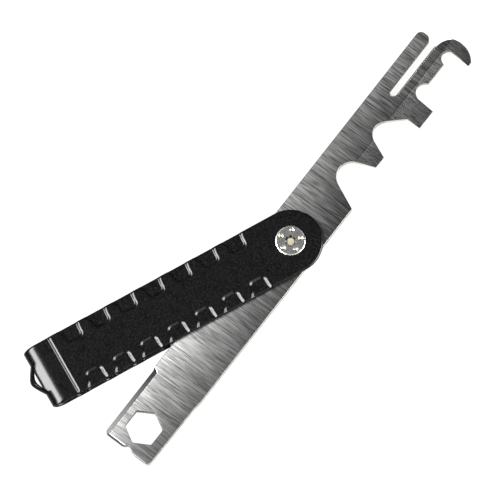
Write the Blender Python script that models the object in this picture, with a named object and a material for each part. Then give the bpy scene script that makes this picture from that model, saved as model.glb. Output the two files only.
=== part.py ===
"""Folding painter's multi tool.

A double-ended stainless bar turns on a sleeve nut between the two cheeks of a handle that is one folded
steel strap. The origin is on the pivot axis, at the centre of the nut's back face. +Z points out of the
front cheek, where the screw head is, and -X points from the pivot to the fold of the handle.
Heights in the dimensions are measured from the middle of the bar's thickness, and each object is then
raised so that the nut's back face lies at height 0.
"""
from math import acos, asin, atan2, cos, hypot, pi, radians, sin, sqrt, tan

import bmesh
import bpy
from mathutils import Vector

MM = 0.001
TINY = 0.0001 * MM           # places closer together than this count as one

# Handle strap
SHEET = 1.2 * MM             # thickness of the strap
STRAP_HALF_WIDTH = 13.3 * MM
REAR_END_RADIUS = 11.8 * MM   # the rear cheek's round end is a little smaller than the front one
CHEEK_MID_Z = 3.2 * MM       # middle of a cheek's sheet, above the bar's mid-plane
FOLD_START_X = -110.95 * MM  # where the cheeks start to curve into the fold
FOLD_LENGTH = 5.55 * MM      # from there to the middle of the sheet at the fold's apex
FOLD_NARROWING = 0.045       # share of the width lost at the apex
CREASE_X = -104.4 * MM       # the cheek steps in here towards the fold
CREASE_RUN = 1.4 * MM
CREASE_DROP = 0.5 * MM
CHEEK_END_X = -13.5 * MM     # the round pivot end is meshed from here on
FOLD_STEPS = 14
END_STEPS = 16

# Scallops pressed into both long edges of each cheek
SCALLOP_COUNT = 7
SCALLOP_PITCH = 12.65 * MM
SCALLOP_LAST_X = -16.35 * MM  # pivot-side wall of the scallop nearest the pivot
SCALLOP_LENGTH = 7.2 * MM
SCALLOP_WALL = 1.1 * MM
SCALLOP_INNER_Y = 6.2 * MM
SCALLOP_CORNER = 1.7 * MM
SCALLOP_DEPTH = 0.5 * MM

# Lanyard loop lanced out of the fold
LOOP_HALF_LENGTH = 6.9 * MM
LOOP_HALF_HEIGHT = 1.4 * MM
LOOP_KERF = 0.25 * MM
LOOP_BULGE = 3.4 * MM
LOOP_CURL = 1.7              # the strip is curved this much more tightly than the fold
LOOP_TIP_ROUND = 0.3         # larger is a rounder tip and less straight sides
LOOP_STEPS = 12

# Bar
BAR_THICK = 3.2 * MM
BAR_TOP_Y = 12.3 * MM
BAR_LOW_Y = -11.5 * MM
BAR_REST_ANGLE = radians(23.3)

# Bar, notched half
NOTCH_1_X = 37.0 * MM
NOTCH_1_RADIUS = 6.5 * MM
NOTCH_1_TOP_Y = 3.1 * MM
FLANK_ANGLE = radians(24)
TOOTH_1_X = (46.3 * MM, 51.7 * MM)
TOOTH_1_LOW_Y = -8.4 * MM
NOTCH_2_CENTRE = (59.5 * MM, -3.7 * MM)
NOTCH_2_RADIUS = 5.6 * MM
RAMP_ANGLE = radians(44)
BIG_TOOTH_X = (70.3 * MM, 79.35 * MM)
TIP_LOW_Y = -12.5 * MM
NOTCH_3_CENTRE = (83.4 * MM, -5.5 * MM)
NOTCH_3_RADIUS = 3.9 * MM
LIFTER_LOW_Y = -4.25 * MM
NOTCH_4_CENTRE = (100.75 * MM, -4.6 * MM)
NOTCH_4_RADIUS = 3.3 * MM
HOOK_INNER_X = 103.8 * MM
HOOK_TIP_X = 103.2 * MM
HOOK_LOWER_CENTRE = (100.25 * MM, -5.4 * MM)
HOOK_LOWER_RADIUS = 8.6 * MM
HOOK_UPPER_CENTRE = (101.2 * MM, -4.4 * MM)
HOOK_UPPER_RADIUS = 7.7 * MM
SLOT_Y = (3.3 * MM, 6.35 * MM)
SLOT_END_X = 74.1 * MM
FINGER_END_X = 103.1 * MM
FINGER_CORNER = 2.4 * MM
GRIND_Y = -0.55 * MM         # below this line the notched half is ground down towards its teeth
GRIND_ANGLE = radians(11.3)

# Bar, spanner half
SHOULDER_X = -74.5 * MM
KNIFE_START_X = -75.8 * MM   # the bevel along the long edge has its full width from here
KNIFE_FACE_Y = 9.9 * MM      # where that bevel leaves the front face
KNIFE_EDGE_Y = 11.9 * MM     # where it meets the side wall
KNIFE_DEPTH = 1.3 * MM       # from the front face down to there
LOW_STEP_X = (-78.3 * MM, -75.2 * MM)
SPANNER_LOW_Y = (-10.7 * MM, -11.0 * MM)
END_FACE_X = -107.6 * MM     # the front face ends here beside the upper lobe, whose wall is further out
UPPER_LOBE_X = -108.3 * MM
UPPER_LOBE_Y = 3.4 * MM
UPPER_LOBE_RADIUS = 2.6 * MM
UPPER_LOBE_TURN = radians(62)
UPPER_CORNER = 1.8 * MM
LOWER_LOBE_X = -108.5 * MM
LOWER_LOBE_Y = -4.6 * MM
LOWER_LOBE_RADIUS = 7.0 * MM
LOWER_LOBE_TURN = radians(42)
LOWER_CORNER = 0.9 * MM
LOWER_FACE_CORNER = (2.9 * MM, 1.9 * MM)  # the cut corner of the front face, along and across the bar
HEX_CENTRE = (-97.2 * MM, 0.35 * MM)
HEX_FLATS = 13.3 * MM
HEX_CORNER = 0.9 * MM

# Pivot
PIVOT_HOLE_RADIUS = 4.2 * MM
BARREL_RADIUS = 4.0 * MM
BARREL_BORE_RADIUS = 3.1 * MM
BARREL_RECESS = 0.2 * MM    # the barrel ends this far inside the front cheek
BORE_FLOOR_Z = -3.4 * MM
SHANK_RADIUS = 2.9 * MM
SHANK_LENGTH = 6.8 * MM
TIP_CHAMFER = 0.4 * MM
HEAD_RADIUS = 6.2 * MM
HEAD_THICK = 1.1 * MM
HEAD_CHAMFER = 0.35 * MM
HEAD_GAP = 0.15 * MM         # under each head
SOCKET_RADIUS = 2.1 * MM
SOCKET_LOBE = 0.3 * MM
SOCKET_DEPTH = 2.0 * MM
DIMPLE_COUNT = 5
DIMPLE_STEPS = 12
DIMPLE_RADIUS = 0.95 * MM
DIMPLE_CIRCLE = 4.35 * MM
DIMPLE_DEPTH = 0.5 * MM
DIMPLE_TURN = radians(54)
PIN_HOLE_RADIUS = 0.9 * MM    # two holes in the nut's back for a pin spanner
PIN_HOLE_CIRCLE = 3.6 * MM
PIN_HOLE_DEPTH = 0.7 * MM
WASHER_BORE = 4.2 * MM
FLAT_WASHER_RADIUS = 7.5 * MM
FLAT_WASHER_THICK = 0.6 * MM
WAVE_WASHER_RADIUS = 7.0 * MM
WAVE_WASHER_THICK = 0.3 * MM
WAVE_HEIGHT = 0.2 * MM
WAVE_COUNT = 3
ROUND_STEPS = 48

CHEEK_INNER_Z = CHEEK_MID_Z - SHEET / 2
CHEEK_OUTER_Z = CHEEK_MID_Z + SHEET / 2
GAP_MID_Z = (CHEEK_INNER_Z + BAR_THICK / 2) / 2
NUT_BACK_Z = -CHEEK_OUTER_Z - HEAD_GAP - HEAD_THICK


def clear_scene():
    for item in list(bpy.data.objects):
        bpy.data.objects.remove(item, do_unlink=True)


def metal(name, colour, roughness, metallic):
    material = bpy.data.materials.new(name)
    material.use_nodes = True
    shader = material.node_tree.nodes["Principled BSDF"]
    shader.inputs["Base Color"].default_value = (*colour, 1.0)
    shader.inputs["Roughness"].default_value = roughness
    shader.inputs["Metallic"].default_value = metallic
    return material


def add_object(name, bm, material, sharp_angle=radians(35)):
    bmesh.ops.recalc_face_normals(bm, faces=bm.faces)
    mesh = bpy.data.meshes.new(name)
    bm.to_mesh(mesh)
    bm.free()
    mesh.shade_smooth()
    mesh.set_sharp_from_angle(angle=sharp_angle)
    mesh.materials.append(material)
    item = bpy.data.objects.new(name, mesh)
    item.location.z = -NUT_BACK_Z
    bpy.context.scene.collection.objects.link(item)
    return item


def add_cutter(name, bm):
    bmesh.ops.recalc_face_normals(bm, faces=bm.faces)
    mesh = bpy.data.meshes.new(name)
    bm.to_mesh(mesh)
    bm.free()
    item = bpy.data.objects.new(name, mesh)
    item.location.z = -NUT_BACK_Z
    bpy.context.scene.collection.objects.link(item)
    item.hide_render = True
    item.display_type = "WIRE"
    return item


def cut(target, cutter):
    modifier = target.modifiers.new(cutter.name, "BOOLEAN")
    modifier.operation = "DIFFERENCE"
    modifier.object = cutter


def arc(centre, radius, start, end, steps):
    """Points on an arc, from one angle to another, both ends included."""
    points = []
    for step in range(steps + 1):
        angle = start + (end - start) * step / steps
        points.append((centre[0] + radius * cos(angle), centre[1] + radius * sin(angle)))
    return points


def add_prism(bm, outline, low_z, high_z):
    """Add a closed block with the given outline."""
    low = [bm.verts.new((x, y, low_z)) for x, y in outline]
    high = [bm.verts.new((x, y, high_z)) for x, y in outline]
    bm.faces.new(low)
    bm.faces.new(high)
    for i in range(len(outline)):
        n = (i + 1) % len(outline)
        bm.faces.new((low[i], low[n], high[n], high[i]))


def prism(outline, low_z, high_z):
    bm = bmesh.new()
    add_prism(bm, outline, low_z, high_z)
    return bm


# ---------------------------------------------------------------- handle strap

def strap_path():
    """Middle of the sheet in side view, from the front cheek round the fold to the rear cheek."""
    front = []
    for index in range(SCALLOP_COUNT):
        right = SCALLOP_LAST_X - index * SCALLOP_PITCH
        left = right - SCALLOP_LENGTH
        front += [right + SCALLOP_WALL / 2, right - SCALLOP_WALL / 2]
        front += [right - SCALLOP_WALL / 2 - SCALLOP_CORNER, left + SCALLOP_WALL / 2 + SCALLOP_CORNER]
        front += [left + SCALLOP_WALL / 2, left - SCALLOP_WALL / 2]
    path = [(CHEEK_END_X, CHEEK_MID_Z)]
    path += [(x, CHEEK_MID_Z) for x in front]
    path += [(CREASE_X, CHEEK_MID_Z), (CREASE_X - CREASE_RUN, CHEEK_MID_Z - CREASE_DROP)]
    fold_height = CHEEK_MID_Z - CREASE_DROP
    for step in range(FOLD_STEPS // 2):
        angle = pi / 2 * step / (FOLD_STEPS // 2)
        path.append((FOLD_START_X - FOLD_LENGTH * sin(angle), fold_height * cos(angle)))
        if step == FOLD_STEPS // 2 - 2:
            path.append(loop_edge_point(fold_height))
    half = sorted(path, key=lambda point: (-point[0], -point[1]))
    return half + [(FOLD_START_X - FOLD_LENGTH, 0.0)] + [(x, -z) for x, z in reversed(half)]


def loop_edge_point(fold_height):
    """Where the lanced loop's slit runs along the fold."""
    height = LOOP_HALF_HEIGHT
    return (FOLD_START_X - FOLD_LENGTH * sqrt(1 - (height / fold_height) ** 2), height)


def path_normals(path):
    """Outward mitred normals of the path, one for each point."""
    normals = []
    for index in range(len(path)):
        before = path[max(index - 1, 0)]
        after = path[min(index + 1, len(path) - 1)]
        here = path[index]
        sides = []
        for a, b in ((before, here), (here, after)):
            length = hypot(b[0] - a[0], b[1] - a[1])
            if length > 0:
                sides.append(Vector((b[1] - a[1], 0, -(b[0] - a[0]))) / length)
        mean = sum(sides, Vector()) / len(sides)
        normals.append(mean / mean.length_squared)
    return normals


def scallop_share(x, y):
    """1 on the floor of a pressed scallop, 0 outside it."""
    depth_y = abs(y) - SCALLOP_INNER_Y
    for index in range(SCALLOP_COUNT):
        right = SCALLOP_LAST_X - index * SCALLOP_PITCH
        inset = min(right - x, x - right + SCALLOP_LENGTH) - SCALLOP_WALL / 2
        if inset < -TINY or depth_y < SCALLOP_WALL - TINY:
            continue
        corner_needed = SCALLOP_CORNER if depth_y < SCALLOP_WALL + SCALLOP_CORNER - TINY else 0.0
        if inset >= corner_needed - TINY:
            return 1.0
    return 0.0


def strap_rows():
    inner = SCALLOP_INNER_Y
    half = [0.0, inner / 2, inner, LOOP_HALF_LENGTH, inner + SCALLOP_WALL]
    half += [inner + SCALLOP_WALL + SCALLOP_CORNER, STRAP_HALF_WIDTH]
    return [-y for y in reversed(half[1:])] + half


def fold_width(point):
    """Share of the full width that the strap keeps at this point of the path."""
    if point[0] > FOLD_START_X:
        return 1.0
    turned = (FOLD_START_X - point[0]) / FOLD_LENGTH
    return 1.0 - FOLD_NARROWING * turned ** 3


def quad(bm, a, b, c, d):
    corners = []
    for vert in (a, b, c, d):
        if vert not in corners:
            corners.append(vert)
    if len(corners) > 2:
        bm.faces.new(corners)


def build_strap(material):
    bm = bmesh.new()
    path = strap_path()
    normals = path_normals(path)
    rows = strap_rows()
    outer = []
    inner = []
    for point, normal in zip(path, normals):
        outer_row = []
        inner_row = []
        for y in rows:
            share = scallop_share(point[0], y)
            middle = Vector((point[0], y * fold_width(point), point[1]))
            middle -= normal * SCALLOP_DEPTH * share
            outer_row.append(bm.verts.new(middle + normal * SHEET / 2))
            inner_row.append(bm.verts.new(middle - normal * SHEET / 2))
        outer.append(outer_row)
        inner.append(inner_row)

    slit = [index for index, point in enumerate(path)
            if abs(abs(point[1]) - LOOP_HALF_HEIGHT) < TINY]
    first, last = slit
    loop_low = rows.index(-LOOP_HALF_LENGTH)
    loop_high = rows.index(LOOP_HALF_LENGTH)
    for k in range(len(path) - 1):
        for j in range(len(rows) - 1):
            if first <= k < last and loop_low <= j < loop_high:
                continue
            quad(bm, outer[k][j], outer[k][j + 1], outer[k + 1][j + 1], outer[k + 1][j])
            quad(bm, inner[k][j], inner[k + 1][j], inner[k + 1][j + 1], inner[k][j + 1])
        for j in (0, len(rows) - 1):
            quad(bm, outer[k][j], outer[k + 1][j], inner[k + 1][j], inner[k][j])
    add_loop(bm, path, normals, outer, inner, (first, last), (loop_low, loop_high))
    add_round_end(bm, outer[0], inner[0], 1, STRAP_HALF_WIDTH)
    add_round_end(bm, outer[-1], inner[-1], -1, REAR_END_RADIUS)
    return add_object("handle_strap", bm, material)


def loop_bow(share):
    """How far the loop stands out, from 1 at its middle to 0 at its ends."""
    tip = LOOP_TIP_ROUND
    return (hypot(1, tip) - hypot(share, tip)) / (hypot(1, tip) - tip)


def add_loop(bm, path, normals, outer, inner, slit, span):
    """The strip lanced out of the fold, bowed outwards between its two slits."""
    first, last = slit
    low, high = span
    for k in slit:
        for j in range(low, high):
            quad(bm, outer[k][j], outer[k][j + 1], inner[k][j + 1], inner[k][j])
    columns = range(first, last + 1)
    kept = 1 - LOOP_KERF / LOOP_HALF_HEIGHT
    apex_x = FOLD_START_X - FOLD_LENGTH
    strips = {"outer": [], "inner": []}
    for step in range(LOOP_STEPS + 1):
        share = 2 * step / LOOP_STEPS - 1
        bow = LOOP_BULGE * loop_bow(share)
        curl = 1 + (LOOP_CURL - 1) * loop_bow(share)
        for name, grid, side in (("outer", outer, 1), ("inner", inner, -1)):
            if step in (0, LOOP_STEPS):
                j = low if step == 0 else high
                strips[name].append([grid[k][j] for k in columns])
                continue
            strip = []
            for k in columns:
                y = share * LOOP_HALF_LENGTH * fold_width(path[k])
                x = apex_x + (path[k][0] - apex_x) * curl - bow
                place = Vector((x, y, path[k][1] * kept))
                strip.append(bm.verts.new(place + normals[k] * side * SHEET / 2))
            strips[name].append(strip)
    for step in range(LOOP_STEPS):
        for name in strips:
            here, there = strips[name][step], strips[name][step + 1]
            for k in range(len(here) - 1):
                quad(bm, here[k], here[k + 1], there[k + 1], there[k])
        for k in (0, -1):
            quad(bm, strips["outer"][step][k], strips["outer"][step + 1][k],
                 strips["inner"][step + 1][k], strips["inner"][step][k])


def add_round_end(bm, outer_column, inner_column, sign, radius):
    """The round pivot end of one cheek, meshed as rays from the pivot hole."""
    shoulder_y = (STRAP_HALF_WIDTH + radius) / 2
    rim = [(CHEEK_END_X / 2, -shoulder_y)] + arc((0, 0), radius, -pi / 2, pi / 2, END_STEPS)
    rim.append((CHEEK_END_X / 2, shoulder_y))
    for level, column in ((1, outer_column), (-1, inner_column)):
        z = sign * (CHEEK_MID_Z + level * SHEET / 2)
        outline = [bm.verts.new((x, y, z)) for x, y in rim] + list(reversed(column))
        hole = []
        for vert in outline:
            angle = atan2(vert.co.y, vert.co.x)
            hole.append(bm.verts.new((PIVOT_HOLE_RADIUS * cos(angle), PIVOT_HOLE_RADIUS * sin(angle), z)))
        if level == 1:
            outer_outline = outline
            outer_hole = hole
        for i in range(len(outline)):
            n = (i + 1) % len(outline)
            quad(bm, outline[i], outline[n], hole[n], hole[i])
    count = len(outline)
    for i in range(count):
        n = (i + 1) % count
        quad(bm, outer_hole[i], outer_hole[n], hole[n], hole[i])
        if i <= len(rim) - 1 or n == 0:
            quad(bm, outer_outline[i], outer_outline[n], outline[n], outline[i])


# ---------------------------------------------------------------- bar

def notched_edge():
    """Lower edge of the notched half, from the pivot side out to the hook's tip."""
    bottom_y = NOTCH_1_TOP_Y - NOTCH_1_RADIUS
    flank_run = (bottom_y + NOTCH_1_RADIUS * sin(FLANK_ANGLE) - BAR_LOW_Y) * tan(FLANK_ANGLE)
    points = [(NOTCH_1_X - NOTCH_1_RADIUS * cos(FLANK_ANGLE) - flank_run, BAR_LOW_Y)]
    points += arc((NOTCH_1_X, bottom_y), NOTCH_1_RADIUS, pi - FLANK_ANGLE, FLANK_ANGLE, 14)
    points += [(TOOTH_1_X[0], TOOTH_1_LOW_Y), (TOOTH_1_X[1], TOOTH_1_LOW_Y)]
    points += arc(NOTCH_2_CENTRE, NOTCH_2_RADIUS, pi - FLANK_ANGLE, pi / 2 - RAMP_ANGLE, 12)
    ramp_top = points[-1]
    ramp_drop = (BIG_TOOTH_X[0] - ramp_top[0]) * tan(RAMP_ANGLE)
    points.append((BIG_TOOTH_X[0], ramp_top[1] - ramp_drop))
    points += [(BIG_TOOTH_X[0], TIP_LOW_Y), (BIG_TOOTH_X[1], TIP_LOW_Y)]
    end = asin((LIFTER_LOW_Y - NOTCH_3_CENTRE[1]) / NOTCH_3_RADIUS)
    points += arc(NOTCH_3_CENTRE, NOTCH_3_RADIUS, pi, end, 10)
    start = pi - asin((LIFTER_LOW_Y - NOTCH_4_CENTRE[1]) / NOTCH_4_RADIUS)
    end = acos((HOOK_INNER_X - NOTCH_4_CENTRE[0]) / NOTCH_4_RADIUS)
    points += arc(NOTCH_4_CENTRE, NOTCH_4_RADIUS, start, end, 9)
    points.append((HOOK_TIP_X, TIP_LOW_Y))
    return points


def hook_and_slot():
    """Outside of the hook, the slot, the round-ended finger beside it and the top edge."""
    tip = asin((TIP_LOW_Y - HOOK_LOWER_CENTRE[1]) / HOOK_LOWER_RADIUS)
    points = arc(HOOK_LOWER_CENTRE, HOOK_LOWER_RADIUS, tip, 0, 8)[:-1]
    join = asin((HOOK_LOWER_CENTRE[1] - HOOK_UPPER_CENTRE[1]) / HOOK_UPPER_RADIUS)
    points += arc(HOOK_UPPER_CENTRE, HOOK_UPPER_RADIUS, join, pi / 2, 10)
    slot_radius = (SLOT_Y[1] - SLOT_Y[0]) / 2
    slot_end = (SLOT_END_X + slot_radius, SLOT_Y[0] + slot_radius)
    points += arc(slot_end, slot_radius, -pi / 2, -3 * pi / 2, 8)
    corner_x = FINGER_END_X - FINGER_CORNER
    points += arc((corner_x, SLOT_Y[1] + FINGER_CORNER), FINGER_CORNER, -pi / 2, 0, 5)
    points += arc((corner_x, BAR_TOP_Y - FINGER_CORNER), FINGER_CORNER, 0, pi / 2, 5)
    points.append((SHOULDER_X, BAR_TOP_Y))
    return points


def spanner_end():
    """Wall and front outline of the spanner half, whose long edge, upper lobe and corners are bevelled."""
    pairs = [((KNIFE_START_X, KNIFE_EDGE_Y), (KNIFE_START_X, KNIFE_FACE_Y))]
    corner = (UPPER_LOBE_X + UPPER_CORNER, KNIFE_EDGE_Y - UPPER_CORNER)
    for point in arc(corner, UPPER_CORNER, pi / 2, pi, 5):
        pairs.append((point, (END_FACE_X, KNIFE_FACE_Y)))
    lobe = (UPPER_LOBE_X + UPPER_LOBE_RADIUS, UPPER_LOBE_Y)
    for point in arc(lobe, UPPER_LOBE_RADIUS, pi, pi + UPPER_LOBE_TURN, 5):
        pairs.append((point, (max(point[0], END_FACE_X), point[1])))
    lobe = (LOWER_LOBE_X + LOWER_LOBE_RADIUS, LOWER_LOBE_Y)
    pairs += [(point, point) for point in arc(lobe, LOWER_LOBE_RADIUS, pi - LOWER_LOBE_TURN, pi, 6)]
    corner = (LOWER_LOBE_X + LOWER_CORNER, SPANNER_LOW_Y[0] + LOWER_CORNER)
    wide, high = LOWER_FACE_CORNER
    for point in arc(corner, LOWER_CORNER, pi, 3 * pi / 2, 5):
        across = (point[0] - corner[0]) / LOWER_CORNER
        down = (point[1] - corner[1]) / LOWER_CORNER
        front = (LOWER_LOBE_X + wide * (1 + across), SPANNER_LOW_Y[0] + high * (1 + down))
        pairs.append((point, front))
    lower = [(LOW_STEP_X[0], SPANNER_LOW_Y[1]), (LOW_STEP_X[1], BAR_LOW_Y)]
    return pairs + [(point, point) for point in lower]


def hexagon_hole():
    """The hexagon with small rounds in its corners, which point along the bar."""
    points = []
    reach = HEX_FLATS / sqrt(3) - HEX_CORNER * 2 / sqrt(3)
    for side in range(6):
        turn = side * pi / 3
        centre = (HEX_CENTRE[0] + reach * cos(turn), HEX_CENTRE[1] + reach * sin(turn))
        points += arc(centre, HEX_CORNER, turn - pi / 6, turn + pi / 6, 2)
    return points


def fill_face(bm, loops):
    """Faces between an outline and the holes inside it."""
    edges = []
    for loop in loops:
        for index, vert in enumerate(loop):
            after = loop[(index + 1) % len(loop)]
            if vert is not after:
                edges.append(bm.edges.get((vert, after)) or bm.edges.new((vert, after)))
    bmesh.ops.triangle_fill(bm, edges=edges, use_beauty=True)


def build_bar(material):
    bm = bmesh.new()
    plain = notched_edge() + hook_and_slot()
    pairs = [(point, point) for point in plain] + spanner_end()
    hole = arc((0, 0), PIVOT_HOLE_RADIUS, 0, 2 * pi, ROUND_STEPS)[:-1]
    contours = [pairs, [(point, point) for point in hole], [(point, point) for point in hexagon_hole()]]
    rear_loops = []
    front_loops = []
    for contour in contours:
        rear = [bm.verts.new((*low, -BAR_THICK / 2)) for low, high in contour]
        front = []
        for low, high in contour:
            if not front or (front[-1].co.xy - Vector(high)).length > TINY:
                front.append(bm.verts.new((*high, BAR_THICK / 2)))
            else:
                front.append(front[-1])
        wall_top = []
        for (low, high), vert in zip(contour, front):
            bevelled = low != high
            wall_top.append(bm.verts.new((*low, BAR_THICK / 2 - KNIFE_DEPTH)) if bevelled else vert)
        for i in range(len(contour)):
            n = (i + 1) % len(contour)
            quad(bm, rear[i], rear[n], wall_top[n], wall_top[i])
            quad(bm, wall_top[i], wall_top[n], front[n], front[i])
        rear_loops.append(rear)
        front_loops.append(front)
    fill_face(bm, rear_loops)
    fill_face(bm, front_loops)
    grind_teeth(bm)
    bar = add_object("tool_bar", bm, material)
    bar.rotation_euler.z = BAR_REST_ANGLE
    return bar


def grind_teeth(bm):
    """Slope the front of the toothed edge down from the grind line."""
    geometry = bm.verts[:] + bm.edges[:] + bm.faces[:]
    bmesh.ops.bisect_plane(bm, geom=geometry, dist=TINY, plane_co=(0, GRIND_Y, 0), plane_no=(0, 1, 0))
    for vert in bm.verts:
        below = GRIND_Y - vert.co.y
        if vert.co.z > 0 and vert.co.x > NOTCH_1_X and below > 0:
            vert.co.z -= below * tan(GRIND_ANGLE)


# ---------------------------------------------------------------- pivot

def turned(profile, ring=False, wave=0.0):
    """A solid of revolution about Z, from (radius, z) points. Without ring, its two ends are capped.

    A ring's profile closes on itself. A wave bends it out of its plane.
    """
    bm = bmesh.new()
    circles = []
    for radius, z in profile:
        circle = []
        for step in range(ROUND_STEPS):
            angle = 2 * pi * step / ROUND_STEPS
            lift = wave * cos(WAVE_COUNT * angle)
            circle.append(bm.verts.new((radius * cos(angle), radius * sin(angle), z + lift)))
        circles.append(circle)
    pairs = list(zip(circles, circles[1:]))
    if ring:
        pairs.append((circles[-1], circles[0]))
    else:
        bm.faces.new(circles[0])
        bm.faces.new(circles[-1])
    for here, there in pairs:
        for step in range(ROUND_STEPS):
            after = (step + 1) % ROUND_STEPS
            quad(bm, here[step], here[after], there[after], there[step])
    return bm


def build_screw(material):
    head_low = CHEEK_OUTER_Z + HEAD_GAP
    head_top = head_low + HEAD_THICK
    tip_z = head_low - SHANK_LENGTH
    profile = [(SHANK_RADIUS - TIP_CHAMFER, tip_z), (SHANK_RADIUS, tip_z + TIP_CHAMFER)]
    profile += [(SHANK_RADIUS, head_low), (HEAD_RADIUS, head_low), (HEAD_RADIUS, head_top - HEAD_CHAMFER)]
    profile += [(HEAD_RADIUS - HEAD_CHAMFER, head_top)]
    screw = add_object("pivot_screw", turned(profile), material)
    star = []
    for step in range(ROUND_STEPS):
        angle = 2 * pi * step / ROUND_STEPS
        radius = SOCKET_RADIUS + SOCKET_LOBE * cos(6 * angle)
        star.append((radius * cos(angle), radius * sin(angle)))
    above = head_top + MM
    cutter = prism(star, head_top - SOCKET_DEPTH, above)
    for index in range(DIMPLE_COUNT):
        turn = DIMPLE_TURN + 2 * pi * index / DIMPLE_COUNT
        centre = (DIMPLE_CIRCLE * cos(turn), DIMPLE_CIRCLE * sin(turn))
        outline = arc(centre, DIMPLE_RADIUS, 0, 2 * pi, DIMPLE_STEPS)[:-1]
        add_prism(cutter, outline, head_top - DIMPLE_DEPTH, above)
    cut(screw, add_cutter("socket_and_dimple_cutter", cutter))
    return screw


def build_nut(material):
    head_high = -CHEEK_OUTER_Z - HEAD_GAP
    barrel_top = CHEEK_OUTER_Z - BARREL_RECESS
    profile = [(HEAD_RADIUS - HEAD_CHAMFER, NUT_BACK_Z), (HEAD_RADIUS, NUT_BACK_Z + HEAD_CHAMFER)]
    profile += [(HEAD_RADIUS, head_high), (BARREL_RADIUS, head_high), (BARREL_RADIUS, barrel_top)]
    profile += [(BARREL_BORE_RADIUS, barrel_top), (BARREL_BORE_RADIUS, BORE_FLOOR_Z)]
    nut = add_object("pivot_nut", turned(profile), material)
    cutter = bmesh.new()
    for side in (-1, 1):
        outline = arc((0, side * PIN_HOLE_CIRCLE), PIN_HOLE_RADIUS, 0, 2 * pi, DIMPLE_STEPS)[:-1]
        add_prism(cutter, outline, NUT_BACK_Z - MM, NUT_BACK_Z + PIN_HOLE_DEPTH)
    cut(nut, add_cutter("pin_hole_cutter", cutter))
    return nut


def build_washers(flat_material, spring_material):
    low = GAP_MID_Z - FLAT_WASHER_THICK / 2
    high = GAP_MID_Z + FLAT_WASHER_THICK / 2
    profile = [(WASHER_BORE, low), (FLAT_WASHER_RADIUS, low), (FLAT_WASHER_RADIUS, high), (WASHER_BORE, high)]
    add_object("front_washer", turned(profile, ring=True), flat_material)
    low = -GAP_MID_Z - WAVE_WASHER_THICK / 2
    high = -GAP_MID_Z + WAVE_WASHER_THICK / 2
    profile = [(WASHER_BORE, low), (WAVE_WASHER_RADIUS, low), (WAVE_WASHER_RADIUS, high), (WASHER_BORE, high)]
    add_object("wave_washer", turned(profile, ring=True, wave=WAVE_HEIGHT), spring_material)


clear_scene()
build_strap(metal("black_coating", (0.012, 0.012, 0.013), 0.38, 0.0))
build_bar(metal("brushed_stainless", (0.42, 0.42, 0.40), 0.32, 1.0))
build_screw(metal("satin_screw", (0.40, 0.40, 0.39), 0.30, 1.0))
build_nut(metal("satin_nut", (0.38, 0.38, 0.37), 0.32, 1.0))
bronze = metal("bronze_washer", (0.50, 0.36, 0.19), 0.40, 1.0)
spring_steel = metal("spring_steel", (0.30, 0.30, 0.30), 0.35, 1.0)
build_washers(bronze, spring_steel)
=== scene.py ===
"""Looks of a folding painter's multi tool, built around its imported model.

Every CAD node gets a finer stand-in of the same size, with rounded edges and a procedural material.
Lengths are in metres. Heights in the dimensions are measured from the middle of the bar's thickness.
"""
from math import acos, asin, atan2, cos, hypot, pi, radians, sin, sqrt, tan

import bmesh
import bpy
from mathutils import Matrix, Vector


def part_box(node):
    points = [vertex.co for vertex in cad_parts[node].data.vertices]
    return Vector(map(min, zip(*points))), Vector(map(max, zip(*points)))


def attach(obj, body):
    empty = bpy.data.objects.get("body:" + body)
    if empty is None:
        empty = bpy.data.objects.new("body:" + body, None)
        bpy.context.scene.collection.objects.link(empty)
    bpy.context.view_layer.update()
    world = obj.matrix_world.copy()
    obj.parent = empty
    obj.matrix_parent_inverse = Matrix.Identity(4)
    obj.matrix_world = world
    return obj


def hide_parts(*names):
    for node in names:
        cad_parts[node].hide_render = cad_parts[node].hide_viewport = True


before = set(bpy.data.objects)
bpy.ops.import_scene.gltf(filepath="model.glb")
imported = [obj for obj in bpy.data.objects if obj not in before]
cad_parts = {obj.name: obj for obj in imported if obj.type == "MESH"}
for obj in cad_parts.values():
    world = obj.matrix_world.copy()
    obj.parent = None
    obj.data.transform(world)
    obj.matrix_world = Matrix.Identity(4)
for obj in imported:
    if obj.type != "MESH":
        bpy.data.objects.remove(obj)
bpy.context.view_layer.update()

MM = 0.001
MERGE = 0.0005 * MM
bar_low, bar_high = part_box("tool_bar")
strap_low, strap_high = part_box("handle_strap")
washer_low, washer_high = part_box("front_washer")
wave_low, wave_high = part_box("wave_washer")
screw_low, screw_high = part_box("pivot_screw")
nut_low, nut_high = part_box("pivot_nut")
MID_Z = (bar_low.z + bar_high.z) / 2
REST = Vector((0, 0, MID_Z))
UP = Vector((0, 0, 1))

# Handle strap
SHEET = 1.2 * MM
SHEET_ROUND = 0.55 * MM       # how far the rounding of the cut edges reaches through the sheet
SHEET_RUN = 0.95 * MM         # and how far it reaches in from the edge
STRAP_HALF_WIDTH = strap_high.y
REAR_END_RADIUS = 11.8 * MM
CHEEK_MID_Z = strap_high.z - MID_Z - SHEET / 2
FOLD_START_X = -110.95 * MM
FOLD_LENGTH = 5.55 * MM
FOLD_NARROWING = 0.045        # share of its width that the strap loses at the tip of the fold
CREASE_X = -104.35 * MM       # from here the cheek steps down towards the fold
CREASE_RUN = 1.6 * MM
CREASE_DROP = 0.5 * MM
CHEEK_END_X = -13.5 * MM
FOLD_STEPS = 20
FOLD_STEP_MARGIN = 0.02       # no fold step comes closer to the slit than this, in radians
END_STEPS = 48
EDGE_STEPS = 4
SMOOTH_ANGLE = radians(40)    # edges that bend by less are shaded smooth

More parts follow.
